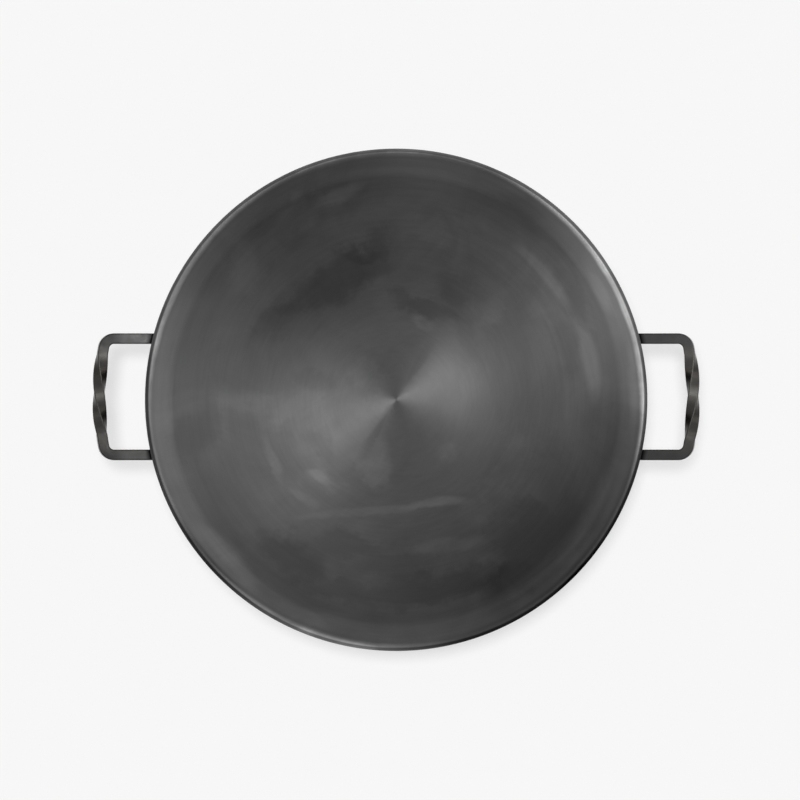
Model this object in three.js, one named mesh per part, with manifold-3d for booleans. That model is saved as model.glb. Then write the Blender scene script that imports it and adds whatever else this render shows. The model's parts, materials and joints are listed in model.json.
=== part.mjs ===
// A round iron wok with a flat base and two loop handles of twisted square bar,
// each welded by its two ends to the outside of the bowl, just below the lip.
// Millimetres, +Z up. The origin is the centre of the flat underside, and the handles lie along X.

import * as THREE from "three";
import { mergeVertices } from "three/addons/utils/BufferGeometryUtils.js";
import Module from "manifold-3d";

const { degToRad } = THREE.MathUtils;

// Bowl
const RIM_DIAMETER = 380; // over the outside of the lip
const BOWL_HEIGHT = 98; // underside of the base to the top of the lip
const BASE_DIAMETER = 100; // flat disc that the wok stands on
const WALL = 4; // thickness, the same in base and wall
const LIP_RADIUS = 3; // of the round bead that thickens the lip on the outside
const KNUCKLE_RADIUS = 100; // inside radius of the soft turn from base to wall
const KNUCKLE_ANGLE = degToRad(25); // slope of the wall as it leaves that turn
const BAND_LENGTH = 21; // straight band below the lip, measured up the slope
const BAND_SLOPE = degToRad(47); // slope of that band, which flares out from the wall below it

// Handles
const BAR = 8; // side of the square bar
const BAR_CHAMFER = 0.7; // worn arris of the bar
const HAND_OPENING = 80; // clear width between the two arms of a loop
const FINGER_GAP = 31; // clear depth from the lip to the grip
const INSIDE_BEND = 4; // inside radius of the two bends
const GRIP_BOW = degToRad(10); // slope of the bowed grip where it runs into a bend
const HANDLE_DROP = 7; // top of the lip to the top of the arm, below the lip's edge
const HANDLE_TILT = degToRad(8); // upward slope of the whole loop
const HANDLE_OFFSET = 2.3; // the loops were set this far behind the middle of the bowl
const TWIST = Math.PI; // the grip is turned half round in the vice

// The two loops were twisted by hand, opposite ways, so each has its own length and middle.
// The middle is counted along Y from the middle of the grip.
const LOOPS = [
  { name: "left", facing: Math.PI, hand: -1, twistLength: 61, twistMiddle: 1.4 },
  { name: "right", facing: 0, hand: 1, twistLength: 66, twistMiddle: -1 },
];

// Welds
const WELD_RADIUS = 3.5; // of the round bead that is laid into each corner
const FIT_GAP = 0.3; // between the bowl, the bars and the welds

// Facets
const BOWL_SEGMENTS = 96;
const KNUCKLE_STEPS = 5;
const WALL_STEPS = 8;
const LIP_STEPS = 10;
const BEND_STEPS = 6;
const GRIP_STEPS = 32;
const WELD_SEGMENTS = 32;
const WELD_SIDES = 10;
const MERGE_DISTANCE = 1e-4;
const SOLVE_STEPS = 40;

// Sizes that follow
const RIM_RADIUS = RIM_DIAMETER / 2;
const BASE_RADIUS = BASE_DIAMETER / 2;
const BEND_RADIUS = INSIDE_BEND + BAR / 2;
const ARM_OFFSET = HAND_OPENING / 2 + BAR / 2;
const GRIP_REACH = FINGER_GAP + BAR / 2;
const GRIP_RADIUS =
  (ARM_OFFSET - BEND_RADIUS * (1 - Math.sin(GRIP_BOW))) / Math.sin(GRIP_BOW);

const seasonedIron = new THREE.MeshStandardMaterial({
  color: 0x4a4a4a,
  roughness: 0.42,
  metalness: 0.8,
});
const forgedIron = new THREE.MeshStandardMaterial({
  color: 0x3d3b39,
  roughness: 0.55,
  metalness: 0.6,
});
const weldIron = new THREE.MeshStandardMaterial({
  color: 0x2e2d2c,
  roughness: 0.65,
  metalness: 0.6,
});

const wasm = await Module();
wasm.setup();

// A closed geometry, moved by a matrix, as a solid for cutting.
function solidFrom(geometry, matrix = new THREE.Matrix4()) {
  const bare = geometry.clone();
  bare.deleteAttribute("normal");
  bare.deleteAttribute("uv");
  bare.applyMatrix4(matrix);
  const merged = mergeVertices(bare, MERGE_DISTANCE);
  return new wasm.Manifold(
    new wasm.Mesh({
      numProp: 3,
      vertProperties: merged.getAttribute("position").array,
      triVerts: new Uint32Array(merged.index.array),
    }),
  );
}

// A cut solid as a geometry in the frame of the object that will hold it.
function geometryFrom(solid, holderMatrix) {
  const { vertProperties, triVerts } = solid.getMesh();
  const geometry = new THREE.BufferGeometry();
  geometry.setAttribute("position", new THREE.BufferAttribute(vertProperties, 3));
  geometry.setIndex(new THREE.BufferAttribute(triVerts, 1));
  geometry.applyMatrix4(holderMatrix.clone().invert());
  geometry.computeVertexNormals();
  return geometry;
}

// The inside line of the bowl from the base's edge to the lip, in (radius, height).
// Each station has the outward normal, so the outside is the same line moved by the wall.
function wallStations() {
  const stations = [];
  const add = (r, z, slope) =>
    stations.push({ r, z, normal: [Math.sin(slope), -Math.cos(slope)] });

  for (let i = 0; i <= KNUCKLE_STEPS; i++) {
    const slope = (KNUCKLE_ANGLE * i) / KNUCKLE_STEPS;
    const r = BASE_RADIUS + KNUCKLE_RADIUS * Math.sin(slope);
    add(r, WALL + KNUCKLE_RADIUS * (1 - Math.cos(slope)), slope);
  }

  const lip = lipCentre();
  const bandTop = [
    lip.r - LIP_RADIUS * Math.sin(BAND_SLOPE),
    lip.z + LIP_RADIUS * Math.cos(BAND_SLOPE),
  ];
  const bandFoot = [
    bandTop[0] - BAND_LENGTH * Math.cos(BAND_SLOPE),
    bandTop[1] - BAND_LENGTH * Math.sin(BAND_SLOPE),
  ];

  // One arc leaves the knuckle along its slope and ends at the foot of the band.
  const start = stations.at(-1);
  const run = bandFoot[0] - start.r;
  const rise = bandFoot[1] - start.z;
  const turn = 2 * (Math.atan2(rise, run) - KNUCKLE_ANGLE);
  const radius = Math.hypot(run, rise) / 2 / Math.sin(turn / 2);
  for (let i = 1; i < WALL_STEPS; i++) {
    const slope = KNUCKLE_ANGLE + (turn * i) / WALL_STEPS;
    const r = start.r + radius * (Math.sin(slope) - Math.sin(KNUCKLE_ANGLE));
    const z = start.z + radius * (Math.cos(KNUCKLE_ANGLE) - Math.cos(slope));
    add(r, z, slope);
  }

  const arcEndSlope = KNUCKLE_ANGLE + turn;
  add(...bandFoot, (arcEndSlope + BAND_SLOPE) / 2);
  add(...bandTop, BAND_SLOPE);
  return stations;
}

// The lip is a round bead. Its inside runs on from the band, and its outside stands proud of the wall.
function lipCentre() {
  return { r: RIM_RADIUS - LIP_RADIUS, z: BOWL_HEIGHT - LIP_RADIUS };
}

// Points over the bead, from where it stands on the outside of the band to its inside.
// A gap moves them out from the bowl.
function lipArc(gap) {
  const { r, z } = lipCentre();
  const radius = LIP_RADIUS + gap;
  const first = BAND_SLOPE - Math.PI + Math.asin((WALL + gap - LIP_RADIUS) / radius);
  const last = BAND_SLOPE + Math.PI / 2;
  const points = [];
  for (let i = 0; i < LIP_STEPS; i++) {
    const angle = first + ((last - first) * i) / LIP_STEPS;
    points.push(new THREE.Vector2(r + radius * Math.cos(angle), z + radius * Math.sin(angle)));
  }
  return points;
}

// The outside line of the bowl from the base up to the foot of the bead, moved out by a gap.
function outsideLine(gap) {
  const wall = wallStations()
    .slice(0, -1)
    .map(
      ({ r, z, normal }) =>
        new THREE.Vector2(r + (WALL + gap) * normal[0], z + (WALL + gap) * normal[1]),
    );
  return [...wall, lipArc(gap)[0]];
}

// A profile in (radius, height), spun about Z.
function spun(profile) {
  return new THREE.LatheGeometry(profile, BOWL_SEGMENTS).rotateX(Math.PI / 2);
}

function bowlGeometry() {
  const inside = wallStations().map(({ r, z }) => new THREE.Vector2(r, z));
  const profile = [
    new THREE.Vector2(0, 0),
    ...outsideLine(0),
    ...lipArc(0).slice(1),
    ...inside.reverse(),
    new THREE.Vector2(0, WALL),
  ];
  return spun(profile);
}

// The bowl's outside as a filled solid, a fit gap larger all over, which cuts what meets the bowl.
function bowlCutter() {
  const lip = lipArc(FIT_GAP).slice(1);
  const top = lip.reduce((best, point) => (point.y > best.y ? point : best));
  const profile = [
    new THREE.Vector2(0, -FIT_GAP),
    ...outsideLine(FIT_GAP),
    ...lip.slice(0, lip.indexOf(top) + 1),
    new THREE.Vector2(0, top.y),
  ];
  return solidFrom(spun(profile));
}

function squareSection(side) {
  const half = side / 2;
  const flat = half - BAR_CHAMFER;
  return new THREE.Shape([
    new THREE.Vector2(half, -flat),
    new THREE.Vector2(half, flat),
    new THREE.Vector2(flat, half),
    new THREE.Vector2(-flat, half),
    new THREE.Vector2(-half, flat),
    new THREE.Vector2(-half, -flat),
    new THREE.Vector2(-flat, -half),
    new THREE.Vector2(flat, -half),
  ]);
}

// Places along the bar's middle line, in the loop's own plane: X runs outwards from the lip.
// Each has the bar's heading and how far the bar has been turned there.
function barStations({ hand, twistLength, twistMiddle, facing }) {
  const middle = twistMiddle * Math.cos(facing);
  const turned = (along) => {
    const share = THREE.MathUtils.clamp((along - middle) / twistLength + 0.5, 0, 1);
    return hand * TWIST * share;
  };
  const gripEnd = GRIP_RADIUS * GRIP_BOW;
  const bendTurn = Math.PI / 2 - GRIP_BOW;
  const bendCentre = {
    x: GRIP_REACH - GRIP_RADIUS + (GRIP_RADIUS - BEND_RADIUS) * Math.cos(GRIP_BOW),
    y: (GRIP_RADIUS - BEND_RADIUS) * Math.sin(GRIP_BOW),
  };
  const innerEnd = -RIM_RADIUS / 2; // inside the bowl, where the cutter removes it

  const armTo = (side) => ({
    x: innerEnd,
    y: side * ARM_OFFSET,
    heading: (side * Math.PI) / 2 + Math.PI / 2,
    twist: turned(side * gripEnd),
  });
  const bend = (side, share) => {
    const heading = Math.PI / 2 + side * (GRIP_BOW + bendTurn * share);
    return {
      x: bendCentre.x + BEND_RADIUS * Math.sin(heading),
      y: side * bendCentre.y - BEND_RADIUS * Math.cos(heading),
      heading,
      twist: turned(side * gripEnd),
    };
  };
  const grip = (share) => {
    const lean = GRIP_BOW * share;
    return {
      x: GRIP_REACH - GRIP_RADIUS * (1 - Math.cos(lean)),
      y: GRIP_RADIUS * Math.sin(lean),
      heading: Math.PI / 2 + lean,
      twist: turned(gripEnd * share),
    };
  };

  const stations = [armTo(-1)];
  for (let i = BEND_STEPS; i > 0; i--) stations.push(bend(-1, i / BEND_STEPS));
  for (let i = 0; i <= GRIP_STEPS; i++) stations.push(grip((2 * i) / GRIP_STEPS - 1));
  for (let i = 1; i <= BEND_STEPS; i++) stations.push(bend(1, i / BEND_STEPS));
  stations.push(armTo(1));
  return stations;
}

// A straight square bar with one slice for each station, then bent and twisted along them.
function barGeometry(loop, side) {
  const stations = barStations(loop);
  const slices = stations.length - 1;
  const geometry = new THREE.ExtrudeGeometry(squareSection(side), {
    depth: slices,
    steps: slices,
    bevelEnabled: false,
  });
  const position = geometry.getAttribute("position");
  for (let i = 0; i < position.count; i++) {
    const { x, y, heading, twist } = stations[Math.round(position.getZ(i))];
    const u = position.getX(i) * Math.cos(twist) + position.getY(i) * Math.sin(twist);
    const v = position.getY(i) * Math.cos(twist) - position.getX(i) * Math.sin(twist);
    position.setXYZ(i, x + u * Math.sin(heading), y - u * Math.cos(heading), v);
  }
  // The section's two axes and the bar's heading make a left-handed set, so the faces are turned round.
  for (let i = 0; i < position.count; i += 3) swapPoints(position, i + 1, i + 2);
  return geometry;
}

function swapPoints(position, a, b) {
  const first = new THREE.Vector3().fromBufferAttribute(position, a);
  const second = new THREE.Vector3().fromBufferAttribute(position, b);
  position.setXYZ(a, second.x, second.y, second.z);
  position.setXYZ(b, first.x, first.y, first.z);
}

// Radius of the bowl's outside at a height, read off its outside line.
function outsideRadius(line, height) {
  const above = line.findIndex((point) => point.y >= height);
  const upper = above < 0 ? line.length - 1 : Math.max(1, above);
  const share = (height - line[upper - 1].y) / (line[upper].y - line[upper - 1].y);
  return line[upper - 1].x + share * (line[upper].x - line[upper - 1].x);
}

// How far out along an arm a line of its surface leaves the bowl's outside.
function armMeetsWall(frame, y, z) {
  const line = outsideLine(0);
  let inside = -RIM_RADIUS / 2;
  let outside = 0;
  for (let i = 0; i < SOLVE_STEPS; i++) {
    const middle = (inside + outside) / 2;
    const point = new THREE.Vector3(middle, y, z).applyMatrix4(frame);
    const isInside = Math.hypot(point.x, point.y) < outsideRadius(line, point.z);
    if (isInside) inside = middle;
    else outside = middle;
  }
  return outside;
}

// A round bead that follows the line where an arm meets the bowl, as a ring in the loop's own frame.
function beadGeometry(frame, armY) {
  const geometry = new THREE.TorusGeometry(1, WELD_RADIUS, WELD_SIDES, WELD_SEGMENTS);
  const position = geometry.getAttribute("position");
  const ringPoints = WELD_SEGMENTS + 1;
  for (let i = 0; i < position.count; i++) {
    const around = (2 * Math.PI * (i % ringPoints)) / WELD_SEGMENTS;
    const side = (2 * Math.PI * Math.floor(i / ringPoints)) / WELD_SIDES;
    const toFace = BAR / 2 / Math.max(Math.abs(Math.cos(around)), Math.abs(Math.sin(around)));
    const out = toFace + WELD_RADIUS * Math.cos(side);
    const wall = armMeetsWall(frame, armY + toFace * Math.cos(around), toFace * Math.sin(around));
    position.setXYZ(
      i,
      wall + WELD_RADIUS * Math.sin(side),
      armY + out * Math.cos(around),
      out * Math.sin(around),
    );
  }
  return geometry;
}

// One loop with its two welds, in a group whose origin is on the lip's edge at the arms' height.
function makeLoop(loop, cutter) {
  const group = new THREE.Group();
  const height = BOWL_HEIGHT - HANDLE_DROP - BAR / 2;
  group.rotation.set(0, -HANDLE_TILT, loop.facing, "ZYX");
  group.position.set(RIM_RADIUS * Math.cos(loop.facing), HANDLE_OFFSET, height);
  group.updateMatrix();
  const frame = group.matrix;

  const bar = solidFrom(barGeometry(loop, BAR), frame).subtract(cutter);
  const handle = new THREE.Mesh(geometryFrom(bar, frame), forgedIron);
  handle.name = `${loop.name}_handle`;
  group.add(handle);

  const looseBar = solidFrom(barGeometry(loop, BAR + 2 * FIT_GAP), frame);
  for (const side of [-1, 1]) {
    const bead = solidFrom(beadGeometry(frame, side * ARM_OFFSET), frame);
    const cut = bead.subtract(looseBar).subtract(cutter);
    const weld = new THREE.Mesh(geometryFrom(cut, frame), weldIron);
    const isBack = side * Math.cos(loop.facing) > 0;
    weld.name = `${loop.name}_${isBack ? "back" : "front"}_weld`;
    group.add(weld);
  }
  return group;
}

const wok = new THREE.Group();
const bowl = new THREE.Mesh(bowlGeometry(), seasonedIron);
bowl.name = "bowl";
wok.add(bowl);
const cutter = bowlCutter();
for (const loop of LOOPS) wok.add(makeLoop(loop, cutter));

export default wok;
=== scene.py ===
# %% [markdown]
# # An iron wok with two twisted handles
#
# The real wok is made of few pieces: one shallow dish, turned smooth in fine rings, and two loops of
# square bar whose grips were twisted in a vice before the bars were bent. Weld beads hold the loops
# under the lip. This lesson dresses the CAD model of that wok: each piece is modelled again with
# finer detail, in the same place, and gets a finish that is made from nodes.
#
# Lengths are written in millimetres, as on a drawing, and MM turns them into Blender's metres.

# %% Load the CAD frame
import json
import math

import bmesh
import bpy
from mathutils import Euler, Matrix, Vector

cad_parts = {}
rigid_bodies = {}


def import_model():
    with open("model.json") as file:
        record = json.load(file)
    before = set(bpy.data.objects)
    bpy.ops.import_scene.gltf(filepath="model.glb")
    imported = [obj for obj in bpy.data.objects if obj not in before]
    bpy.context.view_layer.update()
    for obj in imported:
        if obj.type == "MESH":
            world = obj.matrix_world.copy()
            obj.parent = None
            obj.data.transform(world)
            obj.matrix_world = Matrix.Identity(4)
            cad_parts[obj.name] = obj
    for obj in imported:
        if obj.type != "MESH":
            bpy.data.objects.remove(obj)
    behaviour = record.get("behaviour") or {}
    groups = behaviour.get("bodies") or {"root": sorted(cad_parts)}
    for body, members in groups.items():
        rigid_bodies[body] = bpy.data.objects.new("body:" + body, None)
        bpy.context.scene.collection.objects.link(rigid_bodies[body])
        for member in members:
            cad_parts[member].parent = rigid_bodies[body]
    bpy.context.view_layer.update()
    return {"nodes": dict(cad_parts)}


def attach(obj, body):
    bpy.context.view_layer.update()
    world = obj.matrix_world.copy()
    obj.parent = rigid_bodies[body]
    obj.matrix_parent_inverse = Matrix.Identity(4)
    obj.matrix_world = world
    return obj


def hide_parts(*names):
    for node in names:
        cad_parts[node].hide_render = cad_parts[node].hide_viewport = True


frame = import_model()
MM = 0.001
print("CAD nodes:", ", ".join(sorted(frame["nodes"])))

# %% [markdown]
# ## Operators from a script
#
# An operator acts on whatever is selected, just as it does under the mouse. So each step here first
# selects one piece alone, then opens it for editing, then picks points, edges or faces by a test of
# their place or direction. A modifier is added, set and applied in one go, so that the finished mesh
# holds the shape and nothing is left live on it.

# %% Select, pick and apply
def select_nothing():
    """Go back to object mode with nothing selected."""
    if bpy.context.mode != "OBJECT":
        bpy.ops.object.mode_set(mode="OBJECT")
    bpy.ops.object.select_all(action="DESELECT")


def select_only(piece):
    """Select one piece and make it the active one."""
    select_nothing()
    bpy.context.view_layer.objects.active = piece
    piece.select_set(True)


def open_for_editing(piece, kind="EDGE"):
    """Open one piece in edit mode, with nothing in it selected."""
    select_only(piece)
    bpy.ops.object.mode_set(mode="EDIT")
    bpy.ops.mesh.select_mode(type=kind)
    bpy.ops.mesh.select_all(action="DESELECT")


def pick(piece, elements, test):
    """In edit mode, select the verts, edges or faces that pass a test."""
    mesh = bmesh.from_edit_mesh(piece.data)
    for element in getattr(mesh, elements):
        if test(element):
            element.select_set(True)
    mesh.select_flush_mode()
    bmesh.update_edit_mesh(piece.data)


def apply_modifier(piece, kind, **settings):
    """Add a modifier to a piece, set it and apply it."""
    select_only(piece)
    modifier = piece.modifiers.new(kind.lower(), kind)
    for name, value in settings.items():
        setattr(modifier, name, value)
    bpy.ops.object.modifier_apply(modifier=modifier.name)


def settle(piece):
    """Move a piece's place, turn and scale into its mesh, so that its object sits at the origin."""
    select_only(piece)
    bpy.ops.object.transform_apply(location=True, rotation=True, scale=True)


def tell(piece):
    """Print a piece's size and its number of faces."""
    size = " x ".join(f"{length / MM:.1f}" for length in piece.dimensions)
    print(f"{piece.name}: {size} mm, {len(piece.data.polygons)} faces")


# %% [markdown]
# ## The line of the dish
#
# The dish has a flat base, a soft turn, a wall that is one long arc, and a straight band that flares
# out below the lip. The crease between wall and band is eased. All of it follows from a few sizes. The
# line is kept on the inside, because the inside is what the cook, and the camera, looks into. Each
# place on it has its slope as well as its radius and height, so that the outside is the same line moved
# by the thickness of the wall.

# %% Work out the inside line
RIM_RADIUS = 190
BOWL_HEIGHT = 98
BASE_RADIUS = 50
WALL = 4
LIP_RADIUS = 3
KNUCKLE_RADIUS = 100
KNUCKLE_ANGLE = math.radians(25)
BAND_LENGTH = 21
BAND_SLOPE = math.radians(47)
KNUCKLE_RINGS = 14
WALL_RINGS = 30
CREASE_REACH = 4
CREASE_RINGS = 6

up_band = Vector((math.cos(BAND_SLOPE), math.sin(BAND_SLOPE)))
into_dish = Vector((-math.sin(BAND_SLOPE), math.cos(BAND_SLOPE)))
lip_centre = Vector((RIM_RADIUS - LIP_RADIUS, BOWL_HEIGHT - LIP_RADIUS))
band_top = lip_centre + into_dish * LIP_RADIUS
band_foot = band_top - up_band * BAND_LENGTH


def inside_line():
    """Places (radius and height) with their slopes, from the base's edge to the top of the band."""
    line = []
    for i in range(KNUCKLE_RINGS + 1):
        slope = KNUCKLE_ANGLE * i / KNUCKLE_RINGS
        rise = KNUCKLE_RADIUS * (1 - math.cos(slope))
        line.append((Vector((BASE_RADIUS + KNUCKLE_RADIUS * math.sin(slope), WALL + rise)), slope))

    start = line[-1][0]
    chord = band_foot - start
    turn = 2 * (math.atan2(chord.y, chord.x) - KNUCKLE_ANGLE)
    arc_radius = chord.length / 2 / math.sin(turn / 2)
    for i in range(1, WALL_RINGS - 1):
        slope = KNUCKLE_ANGLE + turn * i / WALL_RINGS
        out = arc_radius * (math.sin(slope) - math.sin(KNUCKLE_ANGLE))
        rise = arc_radius * (math.cos(KNUCKLE_ANGLE) - math.cos(slope))
        line.append((start + Vector((out, rise)), slope))

    end_slope = KNUCKLE_ANGLE + turn
    crease_start = band_foot - Vector((math.cos(end_slope), math.sin(end_slope))) * CREASE_REACH
    crease_end = band_foot + up_band * CREASE_REACH
    for i in range(CREASE_RINGS + 1):
        share = i / CREASE_RINGS
        place = crease_start.lerp(band_foot, share).lerp(band_foot.lerp(crease_end, share), share)
        line.append((place, end_slope + (BAND_SLOPE - end_slope) * share))
    line.append((band_foot + up_band * BAND_LENGTH / 2, BAND_SLOPE))
    line.append((band_top, BAND_SLOPE))
    return line


line = inside_line()
print(f"{len(line)} rings from the base to the lip")

# %% [markdown]
# The lip is a bead: a round that runs on from the inside of the band, over the top and back under until
# it meets the outside of the wall. With it the line closes into a whole section, up the inside, over
# the bead and down the outside to the base.

# %% Close the section over the lip
BEAD_RINGS = 22


def lip_bead():
    """Places round the lip's bead, from the inside of the band to the outside of the wall."""
    under = math.pi - math.asin((WALL - LIP_RADIUS) / LIP_RADIUS)
    places = []
    for i in range(1, BEAD_RINGS + 1):
        turn = math.pi / 2 - (math.pi / 2 + under) * i / BEAD_RINGS
        places.append(lip_centre + (up_band * math.cos(turn) + into_dish * math.sin(turn)) * LIP_RADIUS)
    return places


def outside_of(place, slope):
    return place + Vector((math.sin(slope), -math.cos(slope))) * WALL


inside = [place for place, slope in line]
outside = [outside_of(place, slope) for place, slope in reversed(line[:-1])]
section = inside + lip_bead() + outside
print(f"{len(section)} rings in the whole section")

# %% [markdown]
# ## Raising the dish
#
# A metal spinner starts with a flat disc and draws its edge up, ring by ring. The same works here: a
# filled circle is the base, and its open edge is extruded and scaled once for each place in the
# section, up the inside, over the lip and down again. Spinning a profile would give the same dish, but
# this way the base is one clean fan with no pile of points at the axis. A second fan, poked into the
# last ring, closes the underside.

# %% Raise the dish from a disc
POINTS_AROUND = 288
SMOOTH_BELOW = math.radians(35)

select_nothing()
bpy.ops.mesh.primitive_circle_add(
    vertices=POINTS_AROUND,
    radius=BASE_RADIUS * MM,
    fill_type="TRIFAN",
    location=(0, 0, WALL * MM),
)
dish = bpy.context.object
dish.name = "dish"
settle(dish)
open_for_editing(dish)
bpy.ops.mesh.select_non_manifold()
for now, then in zip(section, section[1:]):
    lift = (0, 0, (then.y - now.y) * MM)
    bpy.ops.mesh.extrude_region_move(TRANSFORM_OT_translate={"value": lift})
    grow = then.x / now.x
    bpy.ops.transform.resize(value=(grow, grow, 1), center_override=(0, 0, 0))
bpy.ops.mesh.edge_face_add()
bpy.ops.mesh.poke()
bpy.ops.mesh.select_all(action="SELECT")
bpy.ops.mesh.normals_make_consistent(inside=False)
select_only(dish)
bpy.ops.object.shade_smooth_by_angle(angle=SMOOTH_BELOW)
tell(dish)

# %% [markdown]
# ## The handles, as a smith makes them
#
# A smith cuts a straight length of square bar, heats its middle, twists it half a turn in the vice and
# only then bends the bar round into a loop. The same order works in Blender and keeps the section true:
# a long block gets its arrises eased with a bevel and is cut into many short slices, Simple Deform
# twists the middle, and a Curve modifier bends the bar along the loop's middle line.

# %% Draw the middle line of a loop
BAR = 8
HAND_OPENING = 80
FINGER_GAP = 31
INSIDE_BEND = 4
GRIP_BOW = math.radians(10)
ARM_START = -24
LINE_STEPS = 24

bend_radius = INSIDE_BEND + BAR / 2
arm_offset = HAND_OPENING / 2 + BAR / 2
grip_reach = FINGER_GAP + BAR / 2
grip_radius = (arm_offset - bend_radius * (1 - math.sin(GRIP_BOW))) / math.sin(GRIP_BOW)


def loop_line():
    """Points along a loop, counted outwards from the lip's edge and sideways from the loop's middle."""
    half = []
    for i in range(LINE_STEPS + 1):
        lean = GRIP_BOW * i / LINE_STEPS
        half.append((grip_reach - grip_radius * (1 - math.cos(lean)), grip_radius * math.sin(lean)))
    bend_x = grip_reach - grip_radius + (grip_radius - bend_radius) * math.cos(GRIP_BOW)
    bend_y = arm_offset - bend_radius
    for i in range(1, LINE_STEPS + 1):
        turn = GRIP_BOW + (math.pi / 2 - GRIP_BOW) * i / LINE_STEPS
        half.append((bend_x + bend_radius * math.cos(turn), bend_y + bend_radius * math.sin(turn)))
    half.append((ARM_START, arm_offset))
    front = [(x, -y) for x, y in reversed(half[1:])]
    return [Vector((x, y, 0)) * MM for x, y in front + half]


def line_length(points):
    return sum((b - a).length for a, b in zip(points, points[1:]))


def bend_guide(points):
    """A curve object for the Curve modifier to bend a bar along."""
    guide = bpy.data.curves.new("bend_guide", "CURVE")
    guide.dimensions = "3D"
    guide.twist_mode = "Z_UP"
    spline = guide.splines.new("POLY")
    spline.points.add(len(points) - 1)
    for place, point in zip(spline.points, points):
        place.co = (*point, 1)
    holder = bpy.data.objects.new("bend_guide", guide)
    bpy.context.scene.collection.objects.link(holder)
    return holder


bar_length = line_length(loop_line())
print(f"a bar {bar_length / MM:.1f} mm long for each loop")

# %% [markdown]
# The straight bar is a block with its long edges bevelled. It is cut across into short slices, because
# a twist or a bend can only move points that are there. One Subdivide makes no more than a hundred cuts,
# so a second one halves each slice.

# %% Cut a straight bar
ARRIS = 0.9
ARRIS_SEGMENTS = 3
MOST_CUTS = 100


def runs_lengthwise(edge):
    """True for the edges that run along a straight bar."""
    a, b = edge.verts
    return abs(a.co.x - b.co.x) > edge.calc_length() / 2


def cut_bar(name):
    """A straight square bar along X with eased arrises, cut into short slices."""
    select_nothing()
    bpy.ops.mesh.primitive_cube_add(
        size=1,
        location=(bar_length / 2, 0, 0),
        scale=(bar_length, BAR * MM, BAR * MM),
    )
    bar = bpy.context.object
    bar.name = name
    settle(bar)
    open_for_editing(bar)
    pick(bar, "edges", runs_lengthwise)
    bpy.ops.mesh.bevel(offset=ARRIS * MM, segments=ARRIS_SEGMENTS, affect="EDGES")
    for cuts in (MOST_CUTS, 1):
        bpy.ops.mesh.select_all(action="DESELECT")
        pick(bar, "edges", runs_lengthwise)
        bpy.ops.mesh.subdivide(number_cuts=cuts)
    return bar


# %% [markdown]
# Simple Deform turns a bar about a point, so an empty stands at the middle of the twist as the vice
# does. One arm then turns a quarter turn forwards and the other a quarter turn back, and the faces of
# both stay square to the loop. Its limits, like the middle, are shares of the bar's length.

# %% Twist and bend a bar
def twist_and_bend(bar, turn, twist_length, twist_middle):
    """Twist the middle of a straight bar, then bend the bar into a loop."""
    middle = 0.5 + twist_middle * MM / bar_length
    half = twist_length * MM / bar_length / 2
    select_nothing()
    bpy.ops.object.empty_add(location=(middle * bar_length, 0, 0))
    vice = bpy.context.object
    apply_modifier(
        bar,
        "SIMPLE_DEFORM",
        deform_method="TWIST",
        deform_axis="X",
        angle=turn,
        limits=(middle - half, middle + half),
        origin=vice,
    )
    bpy.data.objects.remove(vice)
    guide = bend_guide(loop_line())
    apply_modifier(bar, "CURVE", object=guide, deform_axis="POS_X")
    bpy.data.objects.remove(guide)


# %% [markdown]
# The two loops were twisted by hand, opposite ways, so each twist has its own length and its own middle.
# Both loops slope up a little from where they meet the dish.

# %% Set both loops against the dish
HANDLE_DROP = 7
HANDLE_TILT = math.radians(8)
HANDLE_OFFSET = 2.3
TWIST = math.pi
LOOPS = {
    "left": {"facing": math.pi, "hand": -1, "twist_length": 61, "twist_middle": 1.4},
    "right": {"facing": 0, "hand": 1, "twist_length": 66, "twist_middle": -1},
}


def make_loop(name, facing, hand, twist_length, twist_middle):
    """One loop, bent and set at its height below the lip, facing left or right."""
    bar = cut_bar(name)
    side = math.cos(facing)
    twist_and_bend(bar, hand * TWIST, twist_length, twist_middle * side)
    height = BOWL_HEIGHT - HANDLE_DROP - BAR / 2
    bar.location = Vector((RIM_RADIUS * side, HANDLE_OFFSET, height)) * MM
    bar.rotation_euler = (0, -HANDLE_TILT, facing)
    settle(bar)
    tell(bar)
    return bar


loops = {side: make_loop(f"{side}_loop", **shape) for side, shape in LOOPS.items()}

# %% [markdown]
# ## Cutting the arms to the wall
#
# Each arm runs on into the dish for now. Over the width of a bar the wall is as good as flat, so a
# bisect with the plane of the wall's outside cuts the arm to fit. The cut face has exactly the outline
# that the welder's rod follows, so a copy of that face is kept for the bead.

# %% Cut an arm
IN_THE_CUT = 0.999
SMALLEST_CUT = 30  # square millimetres


def wall_plane(arm_y, side):
    """A point on the wall's outside beside an arm, and the direction that the wall faces there."""
    wall = outside_of(band_top, BAND_SLOPE)
    around = math.atan2(arm_y, math.sqrt(wall.x**2 - arm_y**2) * side)
    out = Vector((math.cos(around), math.sin(around), 0))
    facing = out * math.sin(BAND_SLOPE) - Vector((0, 0, math.cos(BAND_SLOPE)))
    point = out * wall.x + Vector((0, 0, wall.y))
    return point * MM, facing


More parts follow.
